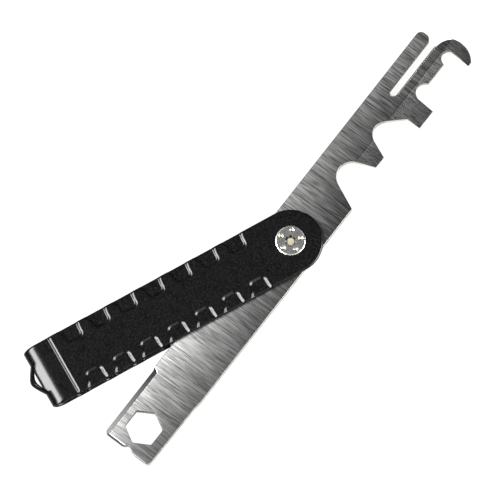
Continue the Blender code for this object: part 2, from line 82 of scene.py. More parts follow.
# Scallops pressed into both long edges of each cheek
SCALLOP_COUNT = 7
SCALLOP_PITCH = 12.65 * MM
SCALLOP_LAST_X = -16.35 * MM
SCALLOP_LENGTH = 7.2 * MM
SCALLOP_WALL = 1.5 * MM
WALL_RISE = 0.7               # how a pressed wall steepens from its top
WALL_FOOT = 8                 # and how suddenly it ends at its foot
SCALLOP_INNER_Y = 6.2 * MM
SCALLOP_CORNER = 2.8 * MM
SCALLOP_DEPTH = 0.45 * MM
FLARE_START_Y = 9.8 * MM      # outwards of this the scallop widens towards the edge
FLARE_RUN = 2.9 * MM
FLARE_LEFT = 1.5 * MM
FLARE_RIGHT = 0.4 * MM
FINE_STEP = 0.2 * MM
COARSE_STEP = 1.6 * MM

# Lanyard loop lanced out of the fold
LOOP_HALF_LENGTH = 6.9 * MM
LOOP_HALF_HEIGHT = 1.4 * MM
LOOP_KERF = 0.25 * MM
LOOP_BULGE = 3.4 * MM
LOOP_CURL = 1.7               # how much deeper than the fold's section the loop's is
LOOP_TIP_ROUND = 0.3          # how round the loop's tip is
LOOP_STEPS = 36
LIP_PUSH = 0.8 * MM           # the sheet beside the slit is drawn outwards with the loop
LIP_FADE = 2.4 * MM
LIP_START = 0.6               # share of the way round to the slit where that begins

# Bar
BAR_THICK = bar_high.z - bar_low.z
BAR_ROUND = 0.16 * MM
BAR_SMOOTH_ANGLE = radians(9.5)
BAR_TOP_Y = 12.3 * MM
BAR_LOW_Y = -11.5 * MM
BAR_REST_ANGLE = radians(23.3)
NOTCH_1_X = 37.0 * MM
NOTCH_1_RADIUS = 6.5 * MM
NOTCH_1_TOP_Y = 3.1 * MM
FLANK_ANGLE = radians(24)
TOOTH_1_X = (46.3 * MM, 51.7 * MM)
TOOTH_1_LOW_Y = -8.4 * MM
NOTCH_2_CENTRE = (59.5 * MM, -3.7 * MM)
NOTCH_2_RADIUS = 5.6 * MM
RAMP_ANGLE = radians(44)
BIG_TOOTH_X = (70.3 * MM, 79.35 * MM)
TIP_LOW_Y = -12.5 * MM
NOTCH_3_CENTRE = (83.4 * MM, -5.5 * MM)
NOTCH_3_RADIUS = 3.9 * MM
LIFTER_LOW_Y = -4.25 * MM
NOTCH_4_CENTRE = (100.75 * MM, -4.6 * MM)
NOTCH_4_RADIUS = 3.3 * MM
HOOK_INNER_X = 103.8 * MM
HOOK_TIP_X = 103.2 * MM
HOOK_LOWER_CENTRE = (100.25 * MM, -5.4 * MM)
HOOK_LOWER_RADIUS = 8.6 * MM
HOOK_UPPER_CENTRE = (101.2 * MM, -4.4 * MM)
HOOK_UPPER_RADIUS = 7.7 * MM
SLOT_Y = (3.3 * MM, 6.35 * MM)
SLOT_END_X = 74.1 * MM
FINGER_END_X = 103.1 * MM
FINGER_CORNER = 2.4 * MM
SLOT_LOW_CHAMFER = 0.75 * MM
SLOT_HIGH_CHAMFER = 0.25 * MM
GRIND_Y = -0.55 * MM          # below this line the teeth are ground down on the front
GRIND_ANGLE = radians(11.3)
CUT_TOLERANCE = 0.0001 * MM
SHOULDER_X = -74.5 * MM
KNIFE_START_X = -75.8 * MM
KNIFE_FACE_Y = 9.9 * MM
KNIFE_EDGE_Y = 11.9 * MM
KNIFE_DEPTH = 1.3 * MM
LOW_STEP_X = (-78.3 * MM, -75.2 * MM)
SPANNER_LOW_Y = (-10.7 * MM, -11.0 * MM)
END_FACE_X = -107.6 * MM
UPPER_LOBE_X = -108.3 * MM
UPPER_LOBE_Y = 3.4 * MM
UPPER_LOBE_RADIUS = 2.6 * MM
UPPER_LOBE_TURN = radians(62)
UPPER_CORNER = 1.8 * MM
LOWER_LOBE_X = -108.5 * MM
LOWER_LOBE_Y = -4.6 * MM
LOWER_LOBE_RADIUS = 7.0 * MM
LOWER_LOBE_TURN = radians(42)
LOWER_CORNER = 0.9 * MM
LOWER_FACE_CORNER = (2.9 * MM, 1.9 * MM)
HEX_CENTRE = (-97.2 * MM, 0.35 * MM)
HEX_FLATS = 13.3 * MM
HEX_CORNER = 0.9 * MM
PIVOT_HOLE_RADIUS = 4.2 * MM

# Pivot
ROUND_STEPS = 144
BARREL_RADIUS = 4.0 * MM
BARREL_BORE_RADIUS = 3.1 * MM
BORE_FLOOR_Z = -3.4 * MM
SHANK_RADIUS = 2.9 * MM
TIP_CHAMFER = 0.4 * MM
HEAD_RADIUS = screw_high.x
HEAD_THICK = 1.1 * MM
HEAD_CHAMFER = 0.35 * MM
RIM_WIDTH = 0.25 * MM         # the flat rim round each head's slightly sunken face
RIM_HEIGHT = 0.08 * MM
SOCKET_RADIUS = 2.1 * MM
SOCKET_LOBES = 6
SOCKET_LOBE = 0.3 * MM
SOCKET_DEPTH = 2.0 * MM
SOCKET_LIP = 0.22 * MM
FACE_INNER_RADIUS = 3.2 * MM  # from here outwards the face is meshed in round rings
FACE_RINGS = 18
CHAMFER_STEPS = 4
SOCKET_BLEND = (0.66, 0.33, 0.0)
NUT_INNER_RINGS = (0.8, 0.6, 0.4, 0.2)
PIN_HOLE_STEEPNESS = 4
DIMPLE_COUNT = 5
DIMPLE_RADIUS = 0.95 * MM
DIMPLE_CIRCLE = 4.35 * MM
DIMPLE_DEPTH = 0.5 * MM
DIMPLE_TURN = radians(54)
PIN_HOLE_RADIUS = 0.9 * MM
PIN_HOLE_CIRCLE = 3.6 * MM
PIN_HOLE_DEPTH = 0.7 * MM
WASHER_BORE = 4.2 * MM
WASHER_ROUND = 0.1 * MM
WAVE_HEIGHT = 0.2 * MM
WAVE_COUNT = 3

# Camera, floor and lights
VIEW_TURN = radians(29.24)    # the handle's direction in the picture
VIEW_TILT = radians(13)
VIEW_DISTANCE = 4.0
VIEW_WIDTH = 203.0 * MM
AIM_RIGHT = -16.44 * MM
AIM_UP = -3.86 * MM
SENSOR = 36.0
FLOOR_SIZE = 6.0
FLOOR_GLOW = 0.93
FLOOR_ROUGHNESS = 0.8
WORLD_LEVEL = 0.05
SOFTBOXES = {                 # degrees to the side and up from the camera's axis, distance, size, watts
    "left_softbox": (-30.8, 2, 1.6, (0.53, 1.5), 90.0),
    "right_lamp": (42, 6, 0.9, (0.42, 0.42), 15.0),
    "low_lamp": (23, -8, 0.9, (0.30, 0.40), 1.0),
    "overhead_panel": (-6, 30, 1.0, (0.9, 0.7), 0.3),
}


def smooth(share):
    """An even S from 0 to 1, held at both ends."""
    share = min(max(share, 0.0), 1.0)
    return share * share * (3 - 2 * share)


def pressed(share):
    """Height of a pressed wall, from 0 at its top to 1 at its foot: gently down, then a tight foot."""
    share = min(max(share, 0.0), 1.0)
    first = WALL_RISE + 1
    last = first + WALL_FOOT
    return (share ** first / first - share ** last / last) / (1 / first - 1 / last)


def arc(centre, radius, start, end, steps):
    """Points on an arc, from one angle to another, both ends included."""
    points = []
    for step in range(steps + 1):
        angle = start + (end - start) * step / steps
        points.append((centre[0] + radius * cos(angle), centre[1] + radius * sin(angle)))
    return points


class Mesher:
    """Builds a mesh in which points at one place are one vertex."""

    def __init__(self):
        self.bm = bmesh.new()
        self.known = {}

    def point(self, place):
        key = tuple(round(value / MERGE) for value in place)
        if key not in self.known:
            self.known[key] = self.bm.verts.new(place)
        return self.known[key]

    def face(self, *corners):
        kept = []
        for vert in corners:
            if vert not in kept:
                kept.append(vert)
        if len(kept) > 2:
            self.bm.faces.new(kept)

    def fill(self, loops):
        """Faces between an outline and the holes inside it."""
        edges = []
        for loop in loops:
            for index, vert in enumerate(loop):
                after = loop[(index + 1) % len(loop)]
                if vert is not after:
                    edges.append(self.bm.edges.get((vert, after)) or self.bm.edges.new((vert, after)))
        bmesh.ops.triangle_fill(self.bm, edges=edges, use_beauty=True)

    def finish(self, name, smooth_angle=SMOOTH_ANGLE):
        bmesh.ops.recalc_face_normals(self.bm, faces=self.bm.faces)
        mesh = bpy.data.meshes.new(name)
        self.bm.to_mesh(mesh)
        self.bm.free()
        mesh.shade_smooth()
        mesh.set_sharp_from_angle(angle=smooth_angle)
        item = bpy.data.objects.new(name, mesh)
        item.location = REST
        bpy.context.scene.collection.objects.link(item)
        weighted = item.modifiers.new("even_normals", "WEIGHTED_NORMAL")
        weighted.keep_sharp = True
        return item


# ---------------------------------------------------------------- handle strap

def spaced(start, end, step):
    """Values from start towards end, end left out, about one step apart."""
    count = max(1, round(abs(end - start) / step))
    return [start + (end - start) * i / count for i in range(count)]


def cheek_columns():
    """Places along the cheek, close together at the walls of the scallops and at the crease."""
    marks = [CHEEK_END_X]
    steps = []
    for index in range(SCALLOP_COUNT):
        right = SCALLOP_LAST_X - index * SCALLOP_PITCH
        left = right - SCALLOP_LENGTH
        marks += [right + FLARE_RIGHT + SCALLOP_WALL / 2, right - SCALLOP_CORNER]
        marks += [left + SCALLOP_CORNER, left - FLARE_LEFT - SCALLOP_WALL / 2]
        steps += [COARSE_STEP, FINE_STEP, COARSE_STEP, FINE_STEP]
    marks += [CREASE_X + FINE_STEP, CREASE_X - CREASE_RUN - FINE_STEP, FOLD_START_X]
    steps += [COARSE_STEP, FINE_STEP / 2, COARSE_STEP / 2]
    columns = []
    for start, end, step in zip(marks, marks[1:], steps):
        columns += spaced(start, end, step)
    return columns


def strap_path():
    """Stations along the middle of the sheet, from front cheek to rear cheek, and the slit's angle.

    A station is x, z, the outward normal and the angle turned in the fold.
    """
    half = []
    fold_height = CHEEK_MID_Z - CREASE_DROP
    for x in cheek_columns():
        drop = CREASE_DROP * pressed((CREASE_X - x) / CREASE_RUN)
        half.append((x, CHEEK_MID_Z - drop, UP, 0.0))
    angles = [pi / 2 * step / FOLD_STEPS for step in range(FOLD_STEPS)]
    slit = acos(LOOP_HALF_HEIGHT / fold_height)
    angles = sorted([angle for angle in angles if abs(angle - slit) > FOLD_STEP_MARGIN] + [slit])
    for angle in angles:
        normal = Vector((-sin(angle) / FOLD_LENGTH, 0, cos(angle) / fold_height)).normalized()
        half.append((FOLD_START_X - FOLD_LENGTH * sin(angle), fold_height * cos(angle), normal, angle))
    path = list(half)
    path.append((FOLD_START_X - FOLD_LENGTH, 0.0, Vector((-1, 0, 0)), pi / 2))
    for x, z, normal, angle in reversed(half):
        path.append((x, -z, Vector((normal.x, 0, -normal.z)), angle))
    return path, slit


def strap_rows():
    """Places across the strap, close together outwards of the scallops' inner ends."""
    edge = STRAP_HALF_WIDTH - SHEET_RUN
    half = spaced(0, SCALLOP_INNER_Y - FINE_STEP, COARSE_STEP)
    half += spaced(SCALLOP_INNER_Y - FINE_STEP, LOOP_HALF_LENGTH, FINE_STEP)
    half += spaced(LOOP_HALF_LENGTH, edge, FINE_STEP) + [edge]
    return [-y for y in reversed(half[1:])] + half


def scallop_depth(x, y):
    """How deep the sheet is pressed in at this place."""
    flare = max(0.0, (abs(y) - FLARE_START_Y) / FLARE_RUN) ** 2
    inner = abs(y) - SCALLOP_INNER_Y
    for index in range(SCALLOP_COUNT):
        right = SCALLOP_LAST_X - index * SCALLOP_PITCH + SCALLOP_WALL / 2
        left = right - SCALLOP_LENGTH - SCALLOP_WALL
        side = min(right + flare * FLARE_RIGHT - x, x - left + flare * FLARE_LEFT)
        inset = min(side, inner)
        if side < SCALLOP_CORNER and inner < SCALLOP_CORNER:
            inset = SCALLOP_CORNER - hypot(SCALLOP_CORNER - side, SCALLOP_CORNER - inner)
        if inset > 0:
            return SCALLOP_DEPTH * pressed(inset / SCALLOP_WALL)
    return 0.0


def fold_width(x):
    """The strap's width in the fold, as a share of its full width."""
    turned_part = max(0.0, (FOLD_START_X - x) / FOLD_LENGTH)
    return 1.0 - FOLD_NARROWING * turned_part ** 3


def sheet_middle(station, y, slit):
    """A point on the middle of the sheet, pressed in at the scallops and drawn out beside the slit."""
    x, z, normal, angle = station
    place = Vector((x, y * fold_width(x), z))
    if angle == 0.0:
        return place - normal * scallop_depth(x, y)
    lip_start = slit * LIP_START
    share = smooth((angle - lip_start) / (slit - lip_start))
    place.x -= LIP_PUSH * share * smooth((LOOP_HALF_LENGTH - abs(y)) / LIP_FADE)
    return place


def edge_profile():
    """Steps outwards and across the sheet, from its outer face round the cut edge to its inner face."""
    half = SHEET / 2
    steps = []
    for step in range(EDGE_STEPS + 1):
        turn = pi / 2 * step / EDGE_STEPS
        steps.append((SHEET_RUN * sin(turn), half - SHEET_ROUND * (1 - cos(turn))))
    return steps + [(out, -across) for out, across in reversed(steps)]


def round_end(radius, sign):
    """Edge stations round one cheek's pivot end: place, direction outwards and the sheet's normal."""
    reach = radius - SHEET_RUN
    shoulder_y = (STRAP_HALF_WIDTH + radius) / 2 - SHEET_RUN
    normal = Vector((0, 0, sign))
    stations = [(Vector((CHEEK_END_X / 2, -shoulder_y, sign * CHEEK_MID_Z)), Vector((0, -1, 0)), normal)]
    for x, y in arc((0, 0), 1.0, -pi / 2, pi / 2, END_STEPS):
        stations.append((Vector((x * reach, y * reach, sign * CHEEK_MID_Z)), Vector((x, y, 0)), normal))
    stations.append((Vector((CHEEK_END_X / 2, shoulder_y, sign * CHEEK_MID_Z)), Vector((0, 1, 0)), normal))
    return stations


def build_strap():
    """The folded strap: two grids of faces, the slit's walls, the loop, the cut edge and the pivot ends."""
    sheet = Mesher()
    path, slit = strap_path()
    rows = strap_rows()
    middles = [[sheet_middle(station, y, slit) for y in rows] for station in path]
    grids = {}
    for side in (1, -1):
        grids[side] = [[sheet.point(place + station[2] * side * SHEET / 2) for place in column]
                       for station, column in zip(path, middles)]
    slits = [k for k, station in enumerate(path) if station[3] == slit]
    loop_rows = [j for j, y in enumerate(rows) if abs(abs(y) - LOOP_HALF_LENGTH) < MERGE]
    for k in range(len(path) - 1):
        for j in range(len(rows) - 1):
            if slits[0] <= k < slits[1] and loop_rows[0] <= j < loop_rows[1]:
                continue
            for grid in grids.values():
                sheet.face(grid[k][j], grid[k][j + 1], grid[k + 1][j + 1], grid[k + 1][j])
    for k in slits:
        for j in range(loop_rows[0], loop_rows[1]):
            sheet.face(grids[1][k][j], grids[1][k][j + 1], grids[-1][k][j + 1], grids[-1][k][j])
    add_loop(sheet, path, grids, slits, loop_rows)

    front = round_end(STRAP_HALF_WIDTH, 1)
    rear = round_end(REAR_END_RADIUS, -1)
    sideways = Vector((0, 1, 0))
    upper = [(column[-1], sideways, station[2]) for station, column in zip(path, middles)]
    lower = [(column[0], -sideways, station[2]) for station, column in zip(path, middles)]
    edge = front + upper + rear[::-1] + lower[::-1]
    rings = []
    for place, out, normal in edge:
        rings.append([sheet.point(place + out * a + normal * b) for a, b in edge_profile()])
    for here, there in zip(rings, rings[1:] + rings[:1]):
        for j in range(len(here) - 1):
            sheet.face(here[j], there[j], there[j + 1], here[j + 1])
    add_round_end(sheet, front, [grids[1][0], grids[-1][0]], 1)
    add_round_end(sheet, rear, [grids[1][-1], grids[-1][-1]], -1)
    return sheet.finish("handle_strap_fine")


def add_round_end(sheet, stations, columns, sign):
    """The flat pivot end of one cheek, meshed as rays from the pivot hole, with the hole's wall."""
    holes = []
    for level, column in zip((1, -1), columns):
        z = sign * (CHEEK_MID_Z + level * SHEET / 2)
        outline = [sheet.point((place.x, place.y, z)) for place, out, normal in stations]
        outline += list(reversed(column))
        hole = []
        for vert in outline:
            angle = atan2(vert.co.y, vert.co.x)
            hole.append(sheet.point((PIVOT_HOLE_RADIUS * cos(angle), PIVOT_HOLE_RADIUS * sin(angle), z)))
        holes.append(hole)
        for i in range(len(outline)):
            n = (i + 1) % len(outline)
            sheet.face(outline[i], outline[n], hole[n], hole[i])
    for i in range(len(holes[0])):
        n = (i + 1) % len(holes[0])
        sheet.face(holes[0][i], holes[0][n], holes[1][n], holes[1][i])


def loop_bow(share):
    """How far the loop stands out, from 1 at its middle to 0 at its ends."""
    tip = LOOP_TIP_ROUND
    return (hypot(1, tip) - hypot(share, tip)) / (hypot(1, tip) - tip)


def add_loop(sheet, path, grids, slits, loop_rows):
    """The strip lanced out of the fold, bowed outwards between its two slits."""
    columns = range(slits[0], slits[1] + 1)
    kept = 1 - LOOP_KERF / LOOP_HALF_HEIGHT
    apex_x = FOLD_START_X - FOLD_LENGTH
    sections = []
    for step in range(LOOP_STEPS + 1):
        share = 2 * step / LOOP_STEPS - 1
        if step in (0, LOOP_STEPS):
            j = loop_rows[0] if step == 0 else loop_rows[1]
            sections.append([[grids[side][k][j] for k in columns] for side in (1, -1)])
            continue
        bow = loop_bow(share)
        curl = 1 + (LOOP_CURL - 1) * bow
        section = []
        for side in (1, -1):
            line = []
            for k in columns:
                x, z, normal, angle = path[k]
                place = Vector((apex_x + (x - apex_x) * curl - LOOP_BULGE * bow,
                                share * LOOP_HALF_LENGTH * fold_width(x), z * kept))
                line.append(sheet.point(place + normal * side * SHEET / 2))
            section.append(line)
        sections.append(section)
    for here, there in zip(sections, sections[1:]):
        for side in (0, 1):
            for k in range(len(here[side]) - 1):
                sheet.face(here[side][k], here[side][k + 1], there[side][k + 1], there[side][k])
        for k in (0, -1):
            sheet.face(here[0][k], there[0][k], there[1][k], here[1][k])


# ---------------------------------------------------------------- bar

def notched_edge():
    """Lower edge of the notched half, from the pivot side out to the hook's tip."""
    bottom_y = NOTCH_1_TOP_Y - NOTCH_1_RADIUS
    flank_run = (bottom_y + NOTCH_1_RADIUS * sin(FLANK_ANGLE) - BAR_LOW_Y) * tan(FLANK_ANGLE)
    points = [(NOTCH_1_X - NOTCH_1_RADIUS * cos(FLANK_ANGLE) - flank_run, BAR_LOW_Y)]
    points += arc((NOTCH_1_X, bottom_y), NOTCH_1_RADIUS, pi - FLANK_ANGLE, FLANK_ANGLE, steps=36)
    points += [(TOOTH_1_X[0], TOOTH_1_LOW_Y), (TOOTH_1_X[1], TOOTH_1_LOW_Y)]
    points += arc(NOTCH_2_CENTRE, NOTCH_2_RADIUS, pi - FLANK_ANGLE, pi / 2 - RAMP_ANGLE, steps=30)
    ramp_top = points[-1]
    ramp_drop = (BIG_TOOTH_X[0] - ramp_top[0]) * tan(RAMP_ANGLE)
    points.append((BIG_TOOTH_X[0], ramp_top[1] - ramp_drop))
    points += [(BIG_TOOTH_X[0], TIP_LOW_Y), (BIG_TOOTH_X[1], TIP_LOW_Y)]
    end = asin((LIFTER_LOW_Y - NOTCH_3_CENTRE[1]) / NOTCH_3_RADIUS)
    points += arc(NOTCH_3_CENTRE, NOTCH_3_RADIUS, pi, end, steps=26)
    start = pi - asin((LIFTER_LOW_Y - NOTCH_4_CENTRE[1]) / NOTCH_4_RADIUS)
    end = acos((HOOK_INNER_X - NOTCH_4_CENTRE[0]) / NOTCH_4_RADIUS)
    points += arc(NOTCH_4_CENTRE, NOTCH_4_RADIUS, start, end, steps=22)
    points.append((HOOK_TIP_X, TIP_LOW_Y))
    return points


def hook_and_slot():
    """Outside of the hook, the slot, the round-ended finger beside it and the top edge.

    Each point comes with the width of its front chamfer.
    """
    tip = asin((TIP_LOW_Y - HOOK_LOWER_CENTRE[1]) / HOOK_LOWER_RADIUS)
    hook = arc(HOOK_LOWER_CENTRE, HOOK_LOWER_RADIUS, tip, 0, steps=20)[:-1]
    join = asin((HOOK_LOWER_CENTRE[1] - HOOK_UPPER_CENTRE[1]) / HOOK_UPPER_RADIUS)
    bend = arc(HOOK_UPPER_CENTRE, HOOK_UPPER_RADIUS, join, pi / 2, steps=24)
    points = [(point, BAR_ROUND) for point in hook]
    for index, point in enumerate(bend):
        share = smooth(index / (len(bend) - 1))
        points.append((point, BAR_ROUND + (SLOT_LOW_CHAMFER - BAR_ROUND) * share))
    slot_radius = (SLOT_Y[1] - SLOT_Y[0]) / 2
    slot_end = (SLOT_END_X + slot_radius, SLOT_Y[0] + slot_radius)
    back = arc(slot_end, slot_radius, -pi / 2, -3 * pi / 2, steps=20)
    for index, point in enumerate(back):
        share = smooth(index / (len(back) - 1))
        points.append((point, SLOT_LOW_CHAMFER + (SLOT_HIGH_CHAMFER - SLOT_LOW_CHAMFER) * share))
    corner_x = FINGER_END_X - FINGER_CORNER
    finger = arc((corner_x, SLOT_Y[1] + FINGER_CORNER), FINGER_CORNER, -pi / 2, 0, steps=12)
    finger += arc((corner_x, BAR_TOP_Y - FINGER_CORNER), FINGER_CORNER, 0, pi / 2, steps=12)
    points += [(point, SLOT_HIGH_CHAMFER) for point in finger]
    points.append(((SHOULDER_X, BAR_TOP_Y), BAR_ROUND))
    return points


def spanner_end():
    """Rear and front outline of the spanner half, whose long edge, upper lobe and corner are bevelled."""
    pairs = [((KNIFE_START_X, KNIFE_EDGE_Y), (KNIFE_START_X, KNIFE_FACE_Y))]
    corner = (UPPER_LOBE_X + UPPER_CORNER, KNIFE_EDGE_Y - UPPER_CORNER)
    for point in arc(corner, UPPER_CORNER, pi / 2, pi, steps=10):
        pairs.append((point, (END_FACE_X, KNIFE_FACE_Y)))
    lobe = (UPPER_LOBE_X + UPPER_LOBE_RADIUS, UPPER_LOBE_Y)
    for point in arc(lobe, UPPER_LOBE_RADIUS, pi, pi + UPPER_LOBE_TURN, steps=12):
        pairs.append((point, (max(point[0], END_FACE_X), point[1])))
    lobe = (LOWER_LOBE_X + LOWER_LOBE_RADIUS, LOWER_LOBE_Y)
    lower_lobe = arc(lobe, LOWER_LOBE_RADIUS, pi - LOWER_LOBE_TURN, pi, steps=14)
    pairs += [(point, point) for point in lower_lobe]
    corner = (LOWER_LOBE_X + LOWER_CORNER, SPANNER_LOW_Y[0] + LOWER_CORNER)
    wide, high = LOWER_FACE_CORNER
    for point in arc(corner, LOWER_CORNER, pi, 3 * pi / 2, steps=12):
        across = (point[0] - corner[0]) / LOWER_CORNER
        down = (point[1] - corner[1]) / LOWER_CORNER
        front = (LOWER_LOBE_X + wide * (1 + across), SPANNER_LOW_Y[0] + high * (1 + down))
        pairs.append((point, front))
    lower = [(LOW_STEP_X[0], SPANNER_LOW_Y[1]), (LOW_STEP_X[1], BAR_LOW_Y)]
    return pairs + [(point, point) for point in lower]


def hexagon_hole():
    """Outline of the spanner's hole, with rounded corners."""
    points = []
    reach = HEX_FLATS / sqrt(3) - HEX_CORNER * 2 / sqrt(3)
    for side in range(6):
        turn = side * pi / 3
        centre = (HEX_CENTRE[0] + reach * cos(turn), HEX_CENTRE[1] + reach * sin(turn))
        points += arc(centre, HEX_CORNER, turn - pi / 6, turn + pi / 6, steps=6)
    return points


def inward_mitres(points, is_hole):
    """For each point of a closed outline, the step into the material that keeps an even distance."""
    count = len(points)
    area = sum(points[i - 1][0] * points[i][1] - points[i][0] * points[i - 1][1] for i in range(count))
    turn = 1 if (area > 0) != is_hole else -1
    steps = []
    for index in range(count):
        sides = []
        for way in (-1, 1):
            other = index
            while hypot(points[other][0] - points[index][0], points[other][1] - points[index][1]) < MERGE:
                other = (other + way) % count
            along = (Vector(points[other]) - Vector(points[index])).normalized() * way
            sides.append(Vector((-along.y, along.x)) * turn)
        steps.append((sides[0] + sides[1]) / (1 + sides[0].dot(sides[1])))
    return steps


def add_walls(mesher, contour, is_hole):
    """The side walls and rounded edges of one outline. Gives the rims of the rear and front faces."""
    rear_steps = inward_mitres([rear for rear, front, width in contour], is_hole)
    front_steps = inward_mitres([front for rear, front, width in contour], is_hole)
    round_share = 1 - cos(pi / 4)          # half-way point of a round edge. A flat chamfer's is 0.5
    columns = []
    for (rear, front, width), rear_step, front_step in zip(contour, rear_steps, front_steps):
        low = Vector((*rear, -BAR_THICK / 2))
        high = Vector((*front, BAR_THICK / 2))
        knee = low + UP * BAR_ROUND
        if rear != front:
            knee = Vector((*rear, BAR_THICK / 2 - KNIFE_DEPTH))
        climb = (high - knee).normalized()
        inset = Vector((*rear_step, 0)) * BAR_ROUND
        places = [low + inset, low + (inset + UP * BAR_ROUND) * round_share, low + UP * BAR_ROUND, knee]
        inset = Vector((*front_step, 0)) * width
        bend = round_share + (0.5 - round_share) * smooth(width / BAR_ROUND - 1)
        places += [high - climb * width, high + (inset - climb * width) * bend, high + inset]
        columns.append([mesher.point(place) for place in places])
    for here, there in zip(columns, columns[1:] + columns[:1]):
        for k in range(len(here) - 1):
            mesher.face(here[k], there[k], there[k + 1], here[k + 1])
    return [column[0] for column in columns], [column[-1] for column in columns]


def build_bar():
    """The bar, built along the x axis and then turned to its angle at rest."""
    mesher = Mesher()
    contour = [(point, point, BAR_ROUND) for point in notched_edge()]
    contour += [(point, point, width) for point, width in hook_and_slot()]
    contour += [(rear, front, BAR_ROUND) for rear, front in spanner_end()]
    pivot = arc((0, 0), PIVOT_HOLE_RADIUS, 0, 2 * pi, ROUND_STEPS // 2)[:-1]
    rims = [add_walls(mesher, contour, False)]
    for hole in (pivot, hexagon_hole()):
        rims.append(add_walls(mesher, [(point, point, BAR_ROUND) for point in hole], True))
    for face in (0, 1):
        mesher.fill([rim[face] for rim in rims])
    grind_teeth(mesher.bm)
    turn = Matrix.Rotation(BAR_REST_ANGLE, 3, "Z")
    bmesh.ops.rotate(mesher.bm, cent=(0, 0, 0), matrix=turn, verts=mesher.bm.verts)
    return mesher.finish("tool_bar_fine", BAR_SMOOTH_ANGLE)


def grind_teeth(bm):
    """Slope the front of the toothed edge down from the grind line."""
    geometry = bm.verts[:] + bm.edges[:] + bm.faces[:]
    line = (0, GRIND_Y, 0)
    bmesh.ops.bisect_plane(bm, geom=geometry, dist=CUT_TOLERANCE, plane_co=line, plane_no=(0, 1, 0))
    for vert in bm.verts:
        below = GRIND_Y - vert.co.y
        if vert.co.z > 0 and vert.co.x > NOTCH_1_X and below > 0:
            vert.co.z -= below * tan(GRIND_ANGLE)


# ---------------------------------------------------------------- pivot

def circle(mesher, radius, z, wave=0.0):
    """A ring of points. The radius may be a function of the angle, and z of the place."""
    ring = []
    for step in range(ROUND_STEPS):
        angle = 2 * pi * step / ROUND_STEPS
        reach = radius(angle) if callable(radius) else radius
        height = z(reach * cos(angle), reach * sin(angle)) if callable(z) else z
        height += wave * cos(WAVE_COUNT * angle)
        ring.append(mesher.point((reach * cos(angle), reach * sin(angle), height)))
    return ring


def join_rings(mesher, rings, closed=False):
    """Walls between neighbouring rings, and from the last to the first if closed."""
    pairs = list(zip(rings, rings[1:]))
    if closed:
        pairs.append((rings[-1], rings[0]))
    for here, there in pairs:
        for step in range(ROUND_STEPS):
            after = (step + 1) % ROUND_STEPS
            mesher.face(here[step], here[after], there[after], there[step])


def pits(centres, radius, depth, level, round_bottom):
    """Height of a head's face, sunk at the given centres."""
    def height(x, y):
        for cx, cy in centres:
            share = hypot(x - cx, y - cy) / radius
            if share < 1:
                sunk = sqrt(1 - share * share) if round_bottom else smooth((1 - share) * PIN_HOLE_STEEPNESS)
                return level - depth * sunk
        return level
    return height


def star(radius):
    """Outline of the socket, round the given mean radius."""
    return lambda angle: radius + SOCKET_LOBE * cos(SOCKET_LOBES * angle)


def blended_star(share):
    """From the outline of the socket's lip to a plain circle."""
    def reach(angle):
        inner = SOCKET_RADIUS + SOCKET_LIP + SOCKET_LOBE * cos(SOCKET_LOBES * angle)
        return inner + (FACE_INNER_RADIUS - inner) * share
    return reach


def face_rings(mesher, height, top, sign):
    """Rings of a head from its edge in to its face, as far as FACE_INNER_RADIUS."""
    outer = HEAD_RADIUS - HEAD_CHAMFER
    sunk = outer - RIM_WIDTH - RIM_HEIGHT
    rings = [circle(mesher, HEAD_RADIUS, top - sign * HEAD_THICK)]
    for step in range(CHAMFER_STEPS + 1):
        turn = pi / 2 * step / CHAMFER_STEPS
        radius = outer + HEAD_CHAMFER * cos(turn)
        rings.append(circle(mesher, radius, top - sign * HEAD_CHAMFER * (1 - sin(turn))))
    rings.append(circle(mesher, outer - RIM_WIDTH, top))
    for step in range(FACE_RINGS + 1):
        radius = sunk + (FACE_INNER_RADIUS - sunk) * step / FACE_RINGS
        rings.append(circle(mesher, radius, height))
    return rings


def build_screw():
    """Rings from the tip up the shank, over the head and down into the socket."""
    mesher = Mesher()
    top = screw_high.z - MID_Z
    tip = screw_low.z - MID_Z
    seat = top - HEAD_THICK
    level = top - RIM_HEIGHT
    floor = top - SOCKET_DEPTH
    rings = [circle(mesher, SHANK_RADIUS - TIP_CHAMFER, tip)]
    rings += [circle(mesher, SHANK_RADIUS, tip + TIP_CHAMFER), circle(mesher, SHANK_RADIUS, seat)]
    centres = []
    for index in range(DIMPLE_COUNT):
        turn = DIMPLE_TURN + 2 * pi * index / DIMPLE_COUNT
        centres.append((DIMPLE_CIRCLE * cos(turn), DIMPLE_CIRCLE * sin(turn)))
    height = pits(centres, DIMPLE_RADIUS, DIMPLE_DEPTH, level, round_bottom=True)
    rings += face_rings(mesher, height, top, 1)
    for share in SOCKET_BLEND:
        rings.append(circle(mesher, blended_star(share), level))
    rings.append(circle(mesher, star(SOCKET_RADIUS), level - SOCKET_LIP))
    rings.append(circle(mesher, star(SOCKET_RADIUS), floor))
    join_rings(mesher, rings)
    mesher.face(*rings[0])
    mesher.face(*rings[-1])
    return mesher.finish("pivot_screw_fine")


